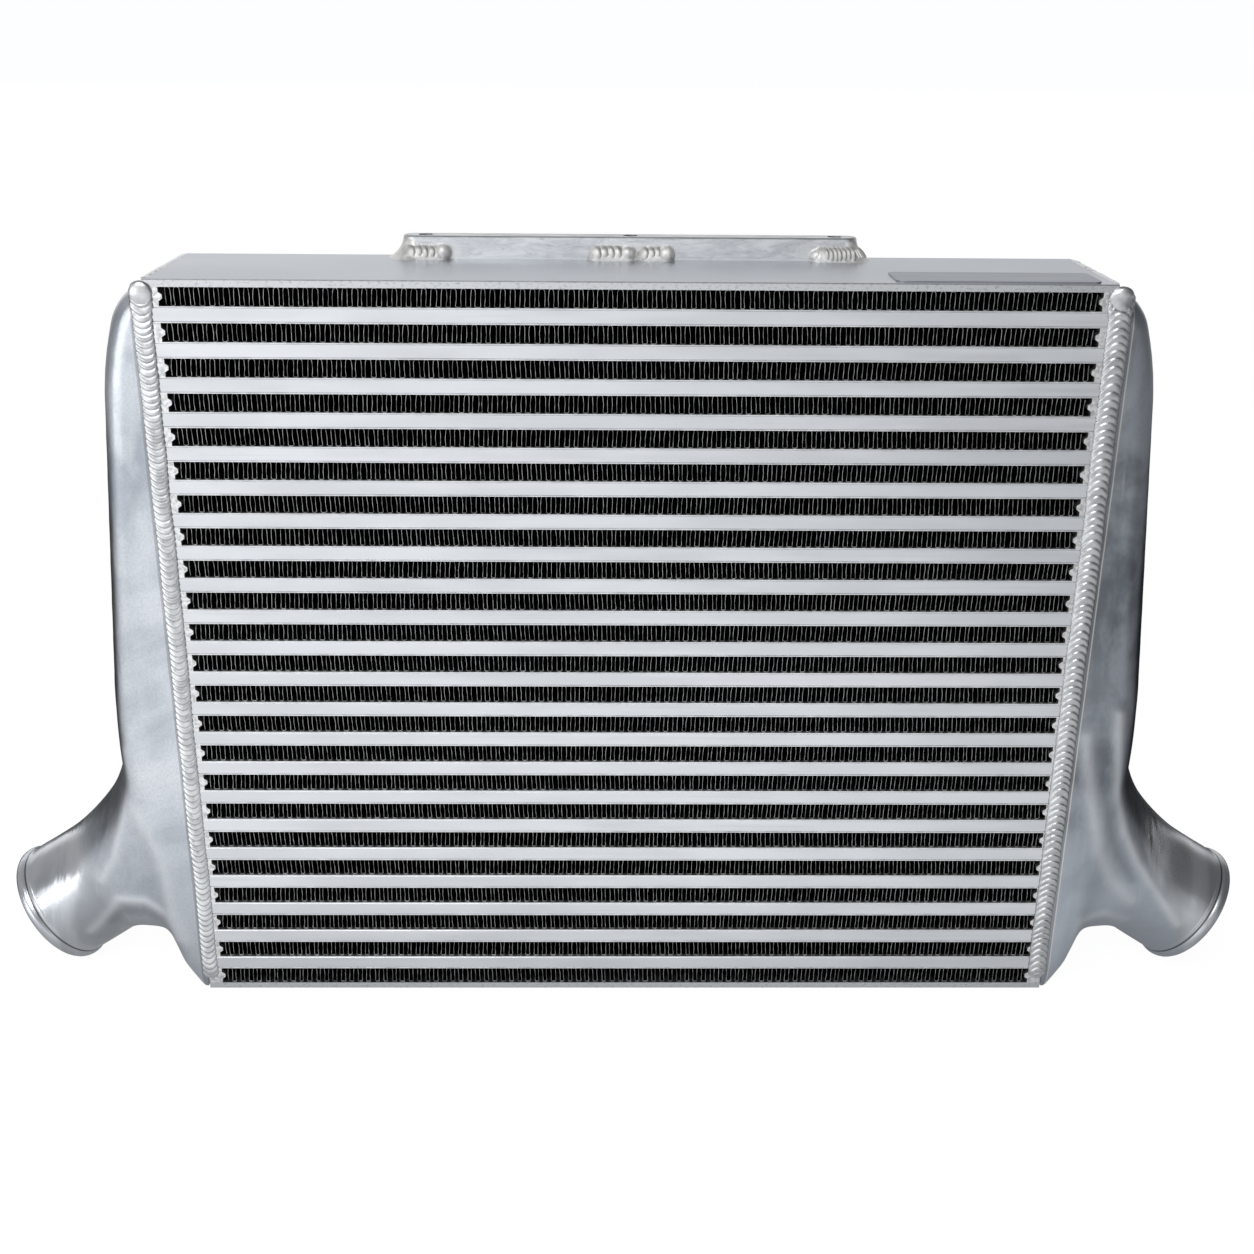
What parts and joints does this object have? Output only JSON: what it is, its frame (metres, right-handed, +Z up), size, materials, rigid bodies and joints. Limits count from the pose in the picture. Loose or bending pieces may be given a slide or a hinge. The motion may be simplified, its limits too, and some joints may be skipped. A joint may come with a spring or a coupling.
{
  "type": "bar-and-plate intercooler",
  "caption": "Brazed bar-and-plate charge air cooler with cast end tanks, downward hose spouts at both sides, heavy seam welds and a bolt rail on top.",
  "frame": {"origin": "centre of the core's bottom face, which the cooler stands on", "axes": "+X across the core towards the right tank, front face towards -Y, +Z up"},
  "size_m": [0.7816, 0.1052, 0.4568],
  "materials": {
    "plates": "brushed satin sheet",
    "fins": "thin folded sheet, dark between its walls",
    "bars": "pale satin extrusion with bright edges",
    "sheets": "bright rolled edge",
    "turbulators": "thin folded sheet",
    "castings": "cast, ground and polished, with soft grey patches",
    "welds": "bright rippled bead",
    "rail": "machined satin",
    "label_plate": "bare grey plate"
  },
  "bodies": {
    "root": {"bottom_plate": "plates", "top_plate": "plates", "cooling_fin_01": "fins", "cooling_fin_02": "fins", "cooling_fin_03": "fins", "cooling_fin_04": "fins", "cooling_fin_05": "fins", "cooling_fin_06": "fins", "cooling_fin_07": "fins", "cooling_fin_08": "fins", "cooling_fin_09": "fins", "cooling_fin_10": "fins", "cooling_fin_11": "fins", "cooling_fin_12": "fins", "cooling_fin_13": "fins", "cooling_fin_14": "fins", "cooling_fin_15": "fins", "cooling_fin_16": "fins", "cooling_fin_17": "fins", "cooling_fin_18": "fins", "cooling_fin_19": "fins", "cooling_fin_20": "fins", "cooling_fin_21": "fins", "cooling_fin_22": "fins", "cooling_fin_23": "fins", "tube_bars_01": "bars", "tube_bars_02": "bars", "tube_bars_03": "bars", "tube_bars_04": "bars", "tube_bars_05": "bars", "tube_bars_06": "bars", "tube_bars_07": "bars", "tube_bars_08": "bars", "tube_bars_09": "bars", "tube_bars_10": "bars", "tube_bars_11": "bars", "tube_bars_12": "bars", "tube_bars_13": "bars", "tube_bars_14": "bars", "tube_bars_15": "bars", "tube_bars_16": "bars", "tube_bars_17": "bars", "tube_bars_18": "bars", "tube_bars_19": "bars", "tube_bars_20": "bars", "tube_bars_21": "bars", "tube_bars_22": "bars", "turbulators": "turbulators", "parting_sheets": "sheets", "closing_bars_left": "bars", "closing_bars_right": "bars", "left_tank": "castings", "right_tank": "castings", "left_tank_weld": "welds", "right_tank_weld": "welds", "mounting_rail": "rail", "rail_welds": "welds", "name_plate": "label_plate"}
  },
  "joints": []
}
